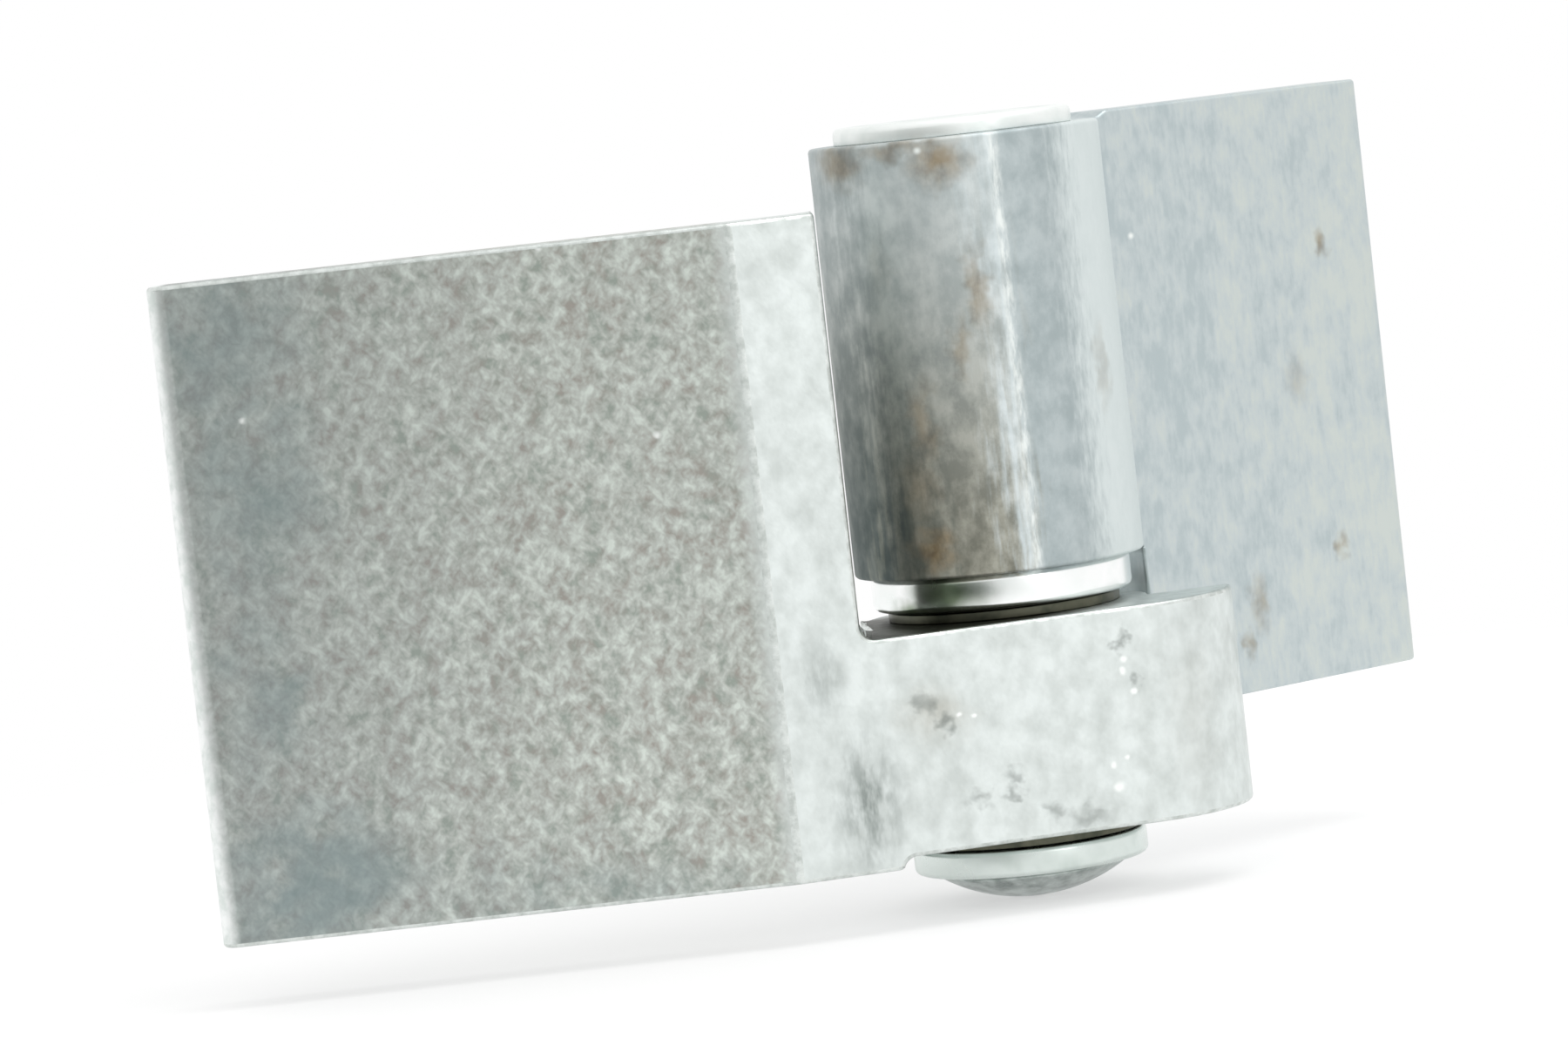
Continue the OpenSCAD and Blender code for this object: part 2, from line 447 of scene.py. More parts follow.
        # the free side is duller, and blue-grey scale still holds there in patches
        reach = self.dull_wander * MM
        wander = add(tree, RANGE, {"Value": clouds, **MOSTLY, "To Min": -reach, "To Max": reach})
        ragged = add(tree, MATH, {0: across, 1: wander}, operation="ADD")
        begins, full = metres((self.dull_from, self.free_x))
        free_side = add(
            tree,
            RANGE,
            {"Value": ragged, "From Min": begins, "From Max": full, "To Max": self.dull_share},
        )
        scale = marks_mask(tree, *strayed(tree, place, *self.patch_stray), self.scale_patches)
        for cover, tone in ((free_side, self.dull), (scale, self.blue_scale)):
            colour = add(tree, MIX, {0: cover, MIX_A: colour, MIX_B: linear(tone)}, data_type="RGBA")
        # paint the rolled edge bright, a painted highlight
        begins, full = metres(self.rolled)
        rolled = add(
            tree,
            RANGE,
            {"Value": across, "From Min": begins, "From Max": full, "To Max": self.rolled_share},
        )
        edge = zip(self.rolled_levels, (self.rolled_dark, self.rolled_edge))
        bright = add(tree, RAMP, {0: flecks}, stops=tuple(edge))
        return add(tree, MIX, {0: rolled, MIX_A: colour, MIX_B: bright}, data_type="RGBA")

    def knuckle_colour(self, tree: bpy.types.NodeTree, place: Socket) -> Socket:
        """Colour the knuckle: calm and pale, with scabs of scale that break into upright strokes.

        Args:
            tree: node tree that takes the nodes.
            place: output with the place on the piece, in metres.

        Returns:
            The colour.
        """
        calm = fleck_pattern(tree, place, self.calm_mm)
        tones = zip(self.calm_levels, (self.calm_dark, self.calm_light))
        colour = add(tree, RAMP, {0: calm}, stops=tuple(tones))
        strokes = fleck_pattern(tree, place, self.stroke_mm)
        low, high = self.stroke_levels
        broken = add(
            tree,
            RANGE,
            {"Value": strokes, "From Min": low, "From Max": high, "To Min": self.scab_least},
        )
        scabs = add(
            tree, MATH, {0: marks_mask(tree, place, self.scabs), 1: broken}, operation="MULTIPLY"
        )
        return add(tree, MIX, {0: scabs, MIX_A: colour, MIX_B: linear(self.scab)}, data_type="RGBA")

    def grease_film(self, tree: bpy.types.NodeTree, bent: Socket, up: Socket) -> Socket:
        """Paint shade on the knuckle's milled top, which lies in the barrel's shadow, and up the notch's
        wall, so that the ring mirrors it dark.

        Args:
            tree: node tree that takes the nodes.
            bent: output with the strayed place on the piece, in metres.
            up: output with the place along Z, in metres.

        Returns:
            An output from 0, clean, up to where painted shade covers the steel.
        """
        facing = add(tree, COORDS, pick="Normal")
        faces = add(tree, SPLIT, {0: facing}).node.outputs
        # the milled top, facing up, is painted dark as shade
        level = add(tree, MATH, {0: faces["Z"], 1: self.level_from}, operation="GREATER_THAN")
        film = add(tree, MATH, {0: level, 1: marks_mask(tree, bent, self.films)}, operation="MULTIPLY")
        # the notch's wall, facing +X, is painted dark so that the ring mirrors shade
        wall = add(tree, MATH, {0: faces["X"], 1: self.wall_from}, operation="GREATER_THAN")
        above = add(tree, MATH, {0: up, 1: self.wall_foot * MM}, operation="GREATER_THAN")
        wall = add(tree, MATH, {0: wall, 1: above}, operation="MULTIPLY")
        begins, gone = metres(self.wall_film)
        thin = add(
            tree,
            RANGE,
            {
                "Value": up,
                "From Min": begins,
                "From Max": gone,
                "To Min": self.wall_share,
                "To Max": 0.0,
            },
        )
        creep = add(tree, MATH, {0: wall, 1: thin}, operation="MULTIPLY")
        return add(tree, MATH, {0: film, 1: creep}, operation="MAXIMUM")

    def material(self) -> bpy.types.Material:
        """Make the material.

        Returns:
            The steel of the whole pillar half.
        """
        made = fresh_material("pickled_mild_steel")
        tree = made.node_tree
        place = add(tree, COORDS, pick="Object")
        parts = add(tree, SPLIT, {0: place}).node.outputs
        leaning = [
            fleck_pattern(tree, place, self.fleck_mm, self.fleck_detail, lean) for lean in self.fleck_lean
        ]
        flecks = add(tree, MATH, {0: leaning[0], 1: leaning[1]}, operation="MAXIMUM")
        drift = fleck_pattern(tree, place, self.drift_mm)
        flecks = add(tree, MATH, {0: drift, 1: self.drift_share, 2: flecks}, operation="MULTIPLY_ADD")
        leaf = self.leaf_colour(tree, place, parts["X"], flecks)
        knuckle = self.knuckle_colour(tree, place)
        # the leaf gives way to the knuckle at the crease
        begins, full = metres(self.crease)
        beyond = add(tree, RANGE, {"Value": parts["X"], "From Min": begins, "From Max": full})
        colour = add(tree, MIX, {0: beyond, MIX_A: leaf, MIX_B: knuckle}, data_type="RGBA")
        # brown stains, pits with eaten outlines, specks that are bare bright nicks, and painted shade on
        # the knuckle's milled top and the notch's wall
        bent = strayed(tree, place, *self.stain_stray)
        eaten = strayed(tree, place, *self.pit_stray)
        covers = (
            (marks_mask(tree, bent[0], self.stains), self.stain),
            (marks_mask(tree, eaten[0], self.pits), self.pit),
            (marks_mask(tree, eaten[1], self.specks), self.speck),
            (self.grease_film(tree, bent[1], parts["Z"]), self.grease),
        )
        for cover, tone in covers:
            colour = add(tree, MIX, {0: cover, MIX_A: colour, MIX_B: linear(tone)}, data_type="RGBA")
        low, high = self.gloss_levels
        rough, smooth = self.roughness
        dull = add(
            tree,
            RANGE,
            {"Value": flecks, "From Min": low, "From Max": high, "To Min": rough, "To Max": smooth},
        )
        return metal_surface(made, colour, 1.0, dull, flecks, self.relief)


@dataclass(frozen=True)
class Stain:
    """A layer on the barrel that thickens to its left and downwards, such as the brown patina and the dark
    scale that is partly painted shade.

    Attributes:
        begins: place along X where it begins, in millimetres.
        full: place along X where it covers all, in millimetres.
        from_z: height from which it thickens down to the barrel's foot, in millimetres.
        at_top: share of it above that height.
        at_foot: share of it at the foot.
    """

    begins: float
    full: float
    from_z: float
    at_top: float
    at_foot: float


@dataclass(frozen=True)
class DrawnSteel:
    """Drawn mild steel left bare: streaks along the draw, dark scale that is partly painted shade, stains
    and rust in them.

    The leaf is pale and bluish. The barrel's near side is brown with a painted highlight line, its left
    is painted dark, scale and shade together, darker towards the foot, and its right limb is painted
    pale as a sheen.

    Sizes, places and wanders are millimetres. Levels are heights of a pattern between which a tone
    changes. A stray is the size of one tooth of an outline, and then how far outlines stray.
    """

    cool: str = "#B8C3C5"
    pale: str = "#C5CECF"
    warm: str = "#CDD4D0"
    bare: str = "#E2E9EA"
    bare_dark: str = "#D0D9DA"
    skin: str = "#B6BFC0"
    skin_dark: str = "#A6B0B1"
    patina: str = "#AFAEA2"
    patina_dark: str = "#85857A"
    # dark scale on the barrel's left, partly painted shade where the pillar strip shades it
    scale: str = "#65726E"
    deep_scale: str = "#4B5A5E"
    # painted highlight line on the barrel, also the colour of two bare nicks
    burnish: str = "#F3F7F4"
    # painted sheen: the barrel's right limb is painted pale
    limb: str = "#E3EAE9"
    rust: str = "#8C7957"
    rust_dark: str = "#655438"
    streak_mm: Point = (0.6, 0.6, 5.0)
    nick_mm: Point = (0.4, 0.4, 1.6)
    mottle_mm: Point = (1.7, 1.7, 2.2)
    mottle_detail: float = 6.0
    mottle_levels: Pair = (0.38, 0.62)
    cloud_mm: Point = (5.0, 5.0, 9.0)
    tint_levels: Point = (0.41, 0.51, 0.61)
    tint_shares: Point = (0.3, 0.45, 0.25)
    drift: float = 4.5
    drift_from: float = -0.235
    near_y: Pair = (15.808, 14.408)
    near_share: float = 0.75
    patina_skin: Stain = Stain(38.55, 34.75, 26.4, 0.18, 1.0)
    # the two dark layers are partly painted shade, darker to the left and towards the foot
    scale_skin: Stain = Stain(33.0, 29.0, 20.4, 0.04, 0.5)
    deep_skin: Stain = Stain(29.5, 26.5, 20.4, 0.2, 0.6)
    foot_z: float = -3.4
    streak_wander: float = 1.5
    mottle_wander: float = 0.5
    burnish_x: float = 37.75
    burnish_w: float = 0.65
    burnish_blend: float = 0.4
    burnish_levels: Pair = (0.42, 0.64)
    burnish_shares: Pair = (0.1, 0.75)
    limb_x: Pair = (40.9, 43.5)
    limb_share: float = 0.75
    limb_wander: float = 0.6
    rust_stray: Pair = (1.4, 0.6)
    rust_levels: Pair = (0.38, 0.58)
    rust_bites: Pair = (0.1, 0.8)
    rust_metal: float = 0.3
    roughness: Pair = (0.5, 0.38)
    near_dull: float = 0.14
    rust_dull: float = 0.2
    relief: Pair = (0.6, 0.03)
    relief_mottle: float = 0.6
    rust_marks: tuple[Mark, ...] = (
        Mark((30.9, 5.2, -1.2), (2.4, 2.5, 2.2), 0.9),
        Mark((34.0, 4.1, 24.8), (3.0, 2.5, 2.6), 0.85),
        Mark((27.4, 8.2, 25.2), (3.4, 4.0, 2.4), 0.65),
        Mark((31.0, 5.0, 25.9), (5.0, 3.0, 1.2), 0.6),
        Mark((35.7, 4.0, 15.9), (1.1, 2.5, 4.2), 0.6),
        Mark((34.2, 4.1, 12.2), (0.9, 2.5, 3.0), 0.45),
        Mark((29.4, 6.1, 18.2), (1.2, 2.5, 3.6), 0.1),
        Mark((31.2, 5.0, 7.2), (1.4, 2.5, 4.2), 0.5),
        Mark((30.4, 5.4, 3.0), (2.0, 2.5, 3.6), 0.4),
        Mark((43.7, 8.3, 9.5), (1.0, 1.5, 4.6), 0.25),
        Mark((61.4, 32.5, 15.3), (1.0, 1.4, 1.4), 0.7),
        Mark((53.9, 26.2, -9.2), (1.3, 1.4, 3.0), 0.5),
        Mark((60.5, 31.7, -6.2), (0.7, 1.0, 1.6), 0.55),
        Mark((58.5, 30.1, 6.1), (1.8, 1.8, 2.6), 0.25),
        Mark((52.9, 25.4, -12.0), (0.8, 1.2, 1.4), 0.5),
    )
    specks: tuple[Mark, ...] = (
        Mark((47.3, 20.7, 17.8), (0.35, 0.8, 0.35)),
        Mark((32.7, 4.4, 25.6), (0.4, 1.0, 0.35)),
    )

    def stained(
        self,
        tree: bpy.types.NodeTree,
        parts: Sequence[Socket],
        streaks: Socket,
        mottle: Socket,
        colour: Socket,
    ) -> Socket:
        """Lay brown patina, and dark scale that is partly painted shade, over the barrel's near and left
        side, all darker towards the foot.

        Args:
            tree: node tree that takes the nodes.
            parts: outputs with the place along X, Y and Z, in metres.
            streaks: output of the streaks along the draw.
            mottle: output of the mottling.
            colour: colour under the stains.

        Returns:
            The colour with its patina, scale and painted shade.
        """
        ragged = parts[0]
        for pattern, wander in ((streaks, self.streak_wander), (mottle, self.mottle_wander)):
            reach = wander * MM
            stray = add(tree, RANGE, {"Value": pattern, **MOSTLY, "To Min": -reach, "To Max": reach})
            ragged = add(tree, MATH, {0: ragged, 1: stray}, operation="ADD")
        tones = zip(self.mottle_levels, (self.patina_dark, self.patina))
        brown = add(tree, RAMP, {0: mottle}, stops=tuple(tones))
        # patina, then dark scale that is partly painted shade, each thicker towards the foot
        layers = (
            (brown, self.patina_skin),
            (linear(self.scale), self.scale_skin),
            (linear(self.deep_scale), self.deep_skin),
        )
        for tone, layer in layers:
            cover = add(
                tree,
                RANGE,
                {"Value": ragged, "From Min": layer.begins * MM, "From Max": layer.full * MM},
                interpolation_type="SMOOTHSTEP",
            )
            thick = add(
                tree,
                RANGE,
                {
                    "Value": parts[2],
                    "From Min": layer.from_z * MM,
                    "From Max": self.foot_z * MM,
                    "To Min": layer.at_top,
                    "To Max": layer.at_foot,
                },
                interpolation_type="SMOOTHSTEP",
            )
            share = add(tree, MATH, {0: cover, 1: thick}, operation="MULTIPLY")
            colour = add(tree, MIX, {0: share, MIX_A: colour, MIX_B: tone}, data_type="RGBA")
        return colour

    def rubbed(
        self, tree: bpy.types.NodeTree, across: Socket, near: Socket, nicks: Socket, colour: Socket
    ) -> Socket:
        """Paint a bright broken highlight line along the barrel's near side, and paint its right limb pale
        as a sheen.

        Args:
            tree: node tree that takes the nodes.
            across: output with the place along X, in metres.
            near: output that is 1 on the barrel's near half.
            nicks: output of the short nicks that break the line.
            colour: colour under the rubbed places.

        Returns:
            The rubbed colour.
        """
        # a painted highlight: a thin broken bright line down the barrel's near side
        off = add(tree, MATH, {0: across, 1: self.burnish_x * MM}, operation="SUBTRACT")
        off = add(tree, MATH, {0: off}, operation="ABSOLUTE")
        line = add(
            tree,
            RANGE,
            {"Value": off, "From Min": self.burnish_w * MM, "From Max": 0.0},
            interpolation_type="SMOOTHSTEP",
        )
        low, high = self.burnish_levels
        least, most = self.burnish_shares
        broken = add(
            tree,
            RANGE,
            {"Value": nicks, "From Min": low, "From Max": high, "To Min": least, "To Max": most},
        )
        line = add(tree, MATH, {0: line, 1: broken}, operation="MULTIPLY")
        # the right limb is painted pale as a sheen
        reach = self.limb_wander * MM
        stray = add(tree, RANGE, {"Value": nicks, **MOSTLY, "To Min": -reach, "To Max": reach})
        ragged = add(tree, MATH, {0: across, 1: stray}, operation="ADD")
        begins, full = metres(self.limb_x)
        limb = add(
            tree,
            RANGE,
            {"Value": ragged, "From Min": begins, "From Max": full, "To Max": self.limb_share},
            interpolation_type="SMOOTHSTEP",
        )
        # paint the highlight line and the pale sheen on the right limb, on the near half only
        for cover, tone in ((line, self.burnish), (limb, self.limb)):
            share = add(tree, MATH, {0: cover, 1: near}, operation="MULTIPLY")
            colour = add(tree, MIX, {0: share, MIX_A: colour, MIX_B: linear(tone)}, data_type="RGBA")
        return colour

    def material(self) -> bpy.types.Material:
        """Make the material.

        Returns:
            The steel of the whole door half.
        """
        made = fresh_material("drawn_mild_steel")
        tree = made.node_tree
        place = add(tree, COORDS, pick="Object")
        parts = tuple(add(tree, SPLIT, {0: place}).node.outputs)
        streaks = fleck_pattern(tree, place, self.streak_mm)
        mottle = fleck_pattern(tree, place, self.mottle_mm, self.mottle_detail)
        clouds = fleck_pattern(tree, place, self.cloud_mm)
        nicks = fleck_pattern(tree, place, self.nick_mm)
        # the leaf warms towards its free edge
        tint = add(tree, MATH, {0: parts[0], 1: self.drift, 2: self.drift_from}, operation="MULTIPLY_ADD")
        for pattern, weight in zip((clouds, mottle, nicks), self.tint_shares):
            tint = add(tree, MATH, {0: pattern, 1: weight, 2: tint}, operation="MULTIPLY_ADD")
        tones = zip(self.tint_levels, (self.cool, self.pale, self.warm))
        colour = add(tree, RAMP, {0: tint}, stops=tuple(tones))
        # the barrel's near half has a skin of its own, brighter to the left of the painted highlight line
        begins, full = metres(self.near_y)
        near = add(tree, RANGE, {"Value": parts[1], "From Min": begins, "From Max": full})
        begins, full = metres((self.burnish_x - self.burnish_blend, self.burnish_x + self.burnish_blend))
        beside = add(tree, RANGE, {"Value": parts[0], "From Min": begins, "From Max": full})
        bare, skin = (
            add(tree, RAMP, {0: mottle}, stops=tuple(zip(self.mottle_levels, row)))
            for row in ((self.bare_dark, self.bare), (self.skin_dark, self.skin))
        )
        skin = add(tree, MIX, {0: beside, MIX_A: bare, MIX_B: skin}, data_type="RGBA")
        share = add(tree, MATH, {0: near, 1: self.near_share}, operation="MULTIPLY")
        colour = add(tree, MIX, {0: share, MIX_A: colour, MIX_B: skin}, data_type="RGBA")
        colour = self.stained(tree, parts, streaks, mottle, colour)
        colour = self.rubbed(tree, parts[0], near, nicks, colour)
        # rust blooms are dull and hardly metal, and two nicks are bare
        rusted = marks_mask(tree, *strayed(tree, place, *self.rust_stray), self.rust_marks)
        tones = zip(self.rust_levels, (self.rust_dark, self.rust))
        rust = add(tree, RAMP, {0: mottle}, stops=tuple(tones))
        colour = add(tree, MIX, {0: rusted, MIX_A: colour, MIX_B: rust}, data_type="RGBA")
        nicked = marks_mask(tree, place, self.specks)
        colour = add(tree, MIX, {0: nicked, MIX_A: colour, MIX_B: linear(self.burnish)}, data_type="RGBA")
        low, high = self.rust_bites
        metal = add(
            tree,
            RANGE,
            {"Value": rusted, "From Min": low, "From Max": high, "To Min": 1.0, "To Max": self.rust_metal},
        )
        rough, smooth = self.roughness
        dull = add(tree, RANGE, {"Value": mottle, **MOSTLY, "To Min": rough, "To Max": smooth})
        for cover, more in ((near, self.near_dull), (rusted, self.rust_dull)):
            dull = add(tree, MATH, {0: cover, 1: more, 2: dull}, operation="MULTIPLY_ADD")
        height = add(
            tree, MATH, {0: mottle, 1: self.relief_mottle, 2: streaks}, operation="MULTIPLY_ADD"
        )
        return metal_surface(made, colour, metal, dull, height, self.relief)


@dataclass(frozen=True)
class TurnedSteel:
    """Bright steel turned on a lathe: soft rings about the pin, faint finger smears, and on the ring a
    painted dark reflection.

    Attributes:
        name: name of the material.
        bright: colour where it is clean.
        smear: colour where it is smeared.
        roughness: roughness where it is clean and where it is smeared.
        greased: where a dark reflection is painted on it.
        grease: colour of the painted dark reflection.
        grease_stray: size of one tooth of the painted reflection's outline, and how far that strays.
        ring_mm: growth of the radius over one radian of the rings.
        ring_share: how strongly the rings show in the colour.
        smear_mm: size of a smear.
        tone_levels: heights of the pattern at which it is smeared and clean.
        relief: strength and depth of the rings.
        axis: X and Y of the pin.
    """

    name: str
    bright: str
    smear: str
    roughness: Pair
    greased: tuple[Mark, ...] = ()
    grease: str = "#808E77"
    grease_stray: Pair = (2.0, 0.5)
    ring_mm: float = 0.5
    ring_share: float = 0.3
    smear_mm: float = 3.0
    tone_levels: Pair = (0.4, 0.8)
    relief: Pair = (0.5, 0.004)
    axis: Pair = (35.5, 14.008)

    def material(self) -> bpy.types.Material:
        """Make the material.

        Returns:
            A bright steel that mirrors softly, with its rings drawn coarse enough to show.
        """
        made = fresh_material(self.name)
        tree = made.node_tree
        place = add(tree, COORDS, pick="Object")
        back = metres((-self.axis[0], -self.axis[1], 0.0))
        centred = add(tree, MAPPING, {"Vector": place, "Location": back})
        # a wave texture runs through 20 radians a unit
        rings = add(
            tree,
            "ShaderNodeTexWave",
            {"Vector": centred, "Scale": per_metre(self.ring_mm) / 20.0, "Distortion": 0.6, "Detail": 2.0},
            wave_type="RINGS",
            rings_direction="Z",
        )
        smears = add(
            tree,
            NOISE,
            {"Vector": place, "Scale": per_metre(self.smear_mm), "Detail": 3.0, "Roughness": 0.55},
        )
        worn = add(tree, MATH, {0: rings, 1: self.ring_share, 2: smears}, operation="MULTIPLY_ADD")
        tones = zip(self.tone_levels, (self.smear, self.bright))
        colour = add(tree, RAMP, {0: worn}, stops=tuple(tones))
        # a dark reflection painted on the ring, where it mirrors the notch's shaded wall
        if self.greased:
            film = marks_mask(tree, *strayed(tree, place, *self.grease_stray), self.greased)
            colour = add(tree, MIX, {0: film, MIX_A: colour, MIX_B: linear(self.grease)}, data_type="RGBA")
        clean, smeared = self.roughness
        dull = add(tree, RANGE, {"Value": smears, **MOSTLY, "To Min": smeared, "To Max": clean})
        return metal_surface(made, colour, 1.0, dull, rings, self.relief)


@dataclass(frozen=True)
class WornMetal:
    """Metal with one soft pattern of wear: peened steel, burnished edges or oiled bronze.

    Attributes:
        name: name of the material.
        low: colour in the hollows of the pattern.
        high: colour on its humps.
        roughness: roughness in the hollows and on the humps.
        pattern_mm: size of the pattern.
        relief: strength and depth of the pattern.
        levels: heights of the pattern at which the two colours are full.
    """

    name: str
    low: str
    high: str
    roughness: Pair
    pattern_mm: float
    relief: Pair
    levels: Pair = (0.35, 0.62)

    def material(self) -> bpy.types.Material:
        """Make the material.

        Returns:
            A metal whose colour, gloss and relief follow one noise of the pattern's size.
        """
        made = fresh_material(self.name)
        tree = made.node_tree
        place = add(tree, COORDS, pick="Object")
        wear = fleck_pattern(tree, place, (self.pattern_mm,) * 3)
        colour = add(tree, RAMP, {0: wear}, stops=tuple(zip(self.levels, (self.low, self.high))))
        hollow, hump = self.roughness
        dull = add(tree, RANGE, {"Value": wear, **MOSTLY, "To Min": hollow, "To Max": hump})
        return metal_surface(made, colour, 1.0, dull, wear, self.relief)


# a painted dark greenish reflection on the ring's left and its lower left edge, where it mirrors the
# notch's shaded wall
RING_GREASE = (
    Mark((31.6, 6.2, -4.5), (4.3, 4.0, 3.0), 1.1),
    Mark((29.5, 7.0, -5.9), (5.5, 7.0, 1.4), 1.0),
)
# a polished band, white with the room that it mirrors
RING_STEEL = TurnedSteel("polished_ring_steel", WHITE, "#F4F8F6", (0.2, 0.28), RING_GREASE)
# a satin disc, pale from every side
HEAD_STEEL = TurnedSteel("turned_bright_steel", "#F3F6F4", "#DCE3E0", (0.4, 0.5))
# a little greyer and sharper than the head
WASHER_STEEL = TurnedSteel("bright_washer_steel", "#D9E1DD", "#BDC8C2", (0.24, 0.36))
# a thin bright line along edges that were rubbed
BURNISHED_EDGE = WornMetal("burnished_steel_edge", "#BFC5C1", "#DFE4E1", (0.42, 0.26), 0.8, (0.6, 0.02))
# hammered: grey hollows between brighter humps
PEENED_STEEL = WornMetal("peened_steel", "#878F8C", "#C3CAC7", (0.26, 0.4), 1.6, (0.6, 0.12))
# bronze so dark with oil that it shows as a shadow with a faint glint
OILED_BRONZE = WornMetal("oiled_bronze", "#474A40", "#656557", (0.28, 0.45), 2.2, (0.6, 0.02))


# surfaces


def rounded_section(corners: np.ndarray, radii: Sequence[float], steps: int = 7) -> np.ndarray:
    """Round the corners of a closed section.

    At each corner half the angle between its two sides is h. The arc's centre lies r / sin(h)
    along the bisector, its ends lie r / tan(h) along the sides, and its points turn evenly from
    one end to the other.

    Args:
        corners: radius and height of each corner, clockwise with the outer side going down.
        radii: arc radius at each corner.
        steps: points on each arc.

    Returns:
        The points of the rounded section, in order.
    """
    back = np.roll(corners, 1, axis=0) - corners
    ahead = np.roll(corners, -1, axis=0) - corners
    back = back / np.linalg.norm(back, axis=1, keepdims=True)
    ahead = ahead / np.linalg.norm(ahead, axis=1, keepdims=True)
    half = np.arccos(np.clip((back * ahead).sum(axis=1), -1.0, 1.0)) / 2.0
    bisector = (back + ahead) / np.linalg.norm(back + ahead, axis=1, keepdims=True)
    size = np.asarray(radii, float)
    centre = corners + bisector * (size / np.sin(half))[:, None]
    first = corners + back * (size / np.tan(half))[:, None] - centre
    last = corners + ahead * (size / np.tan(half))[:, None] - centre
    sweep = (np.pi - 2.0 * half)[:, None, None]
    share = np.linspace(0.0, 1.0, steps)[None, :, None]
    arc = np.sin((1.0 - share) * sweep) * first[:, None] + np.sin(share * sweep) * last[:, None]
    return (centre[:, None] + arc / np.sin(sweep)).reshape(-1, 2)


def lathe(section: np.ndarray, axis: Pair, turns: int = 160) -> np.ndarray:
    """Carry a section round the pin: x and y are the radius times the cosine and sine of the turn.

    Args:
        section: radius and height of each point, in millimetres.
        axis: X and Y of the pin's axis, in millimetres.
        turns: points round the axis.

    Returns:
        A grid of points, section by turn by coordinate, in millimetres.
    """
    turn = np.linspace(0.0, 2.0 * np.pi, turns, endpoint=False)
    radius, height = section[:, :1], section[:, 1:]
    return np.stack(
        [
            axis[0] + radius * np.cos(turn),
            axis[1] + radius * np.sin(turn),
            np.broadcast_to(height, (len(section), turns)),
        ],
        axis=-1,
    )


def grid_object(name: str, grid: np.ndarray, fringe: Fringe) -> bpy.types.Object:
    """Make an object from a grid of points that closes on itself round the turn.

    Args:
        name: name of the object.
        grid: points, section by turn by coordinate, in millimetres, the outer side going down.
        fringe: how the section's ends are closed.

    Returns:
        The object, smooth shaded and linked to the scene.
    """
    rows, turns = grid.shape[:2]
    row = np.arange(rows if fringe is Fringe.LOOP else rows - 1)[:, None]
    turn = np.arange(turns)[None, :]
    below, beside = (row + 1) % rows, (turn + 1) % turns
    corners = (row * turns + turn, below * turns + turn, below * turns + beside, row * turns + beside)
    faces = np.stack(corners, axis=-1).reshape(-1, 4).tolist()
    points = grid.reshape(-1, 3)
    if fringe is Fringe.POLES:
        top, bottom = rows * turns, rows * turns + 1
        points = np.vstack([points, grid[0].mean(axis=0), grid[-1].mean(axis=0)])
        ring, step = np.arange(turns), (np.arange(turns) + 1) % turns
        last = (rows - 1) * turns
        faces += np.stack([np.full(turns, top), ring, step], axis=-1).tolist()
        faces += np.stack([np.full(turns, bottom), last + step, last + ring], axis=-1).tolist()
    mesh = bpy.data.meshes.new(name)
    mesh.from_pydata((points * MM).tolist(), [], faces)
    mesh.polygons.foreach_set("use_smooth", np.ones(len(mesh.polygons), bool))
    mesh.update()
    return placed(name, mesh)


def settle(
    piece: bpy.types.Object, node: str, body: Body, materials: Sequence[bpy.types.Material]
) -> bpy.types.Object:
    """Give a piece its finish and let it stand for a node of the part.

    Args:
        piece: the finished piece.
        node: node that it replaces.
        body: half that it moves with.
        materials: materials in the order of the piece's slots.

    Returns:
        The same piece.
    """
    for material in materials:
        piece.data.materials.append(material)
    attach(piece, body.value)
    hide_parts(node)
    return piece


def pin_axis() -> Pair:
    """Give X and Y of the pin's axis from the frame's joint, in millimetres."""
    place = frame["joints"][0]["pos_m"]
    return (place[0] / MM, place[1] / MM)


def span(node: str) -> Point:
    """Give a round node's outer radius, lowest and highest point, in millimetres."""
    low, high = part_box(node)
    return ((high.x - low.x) / 2 / MM, low.z / MM, high.z / MM)


# sub-assemblies


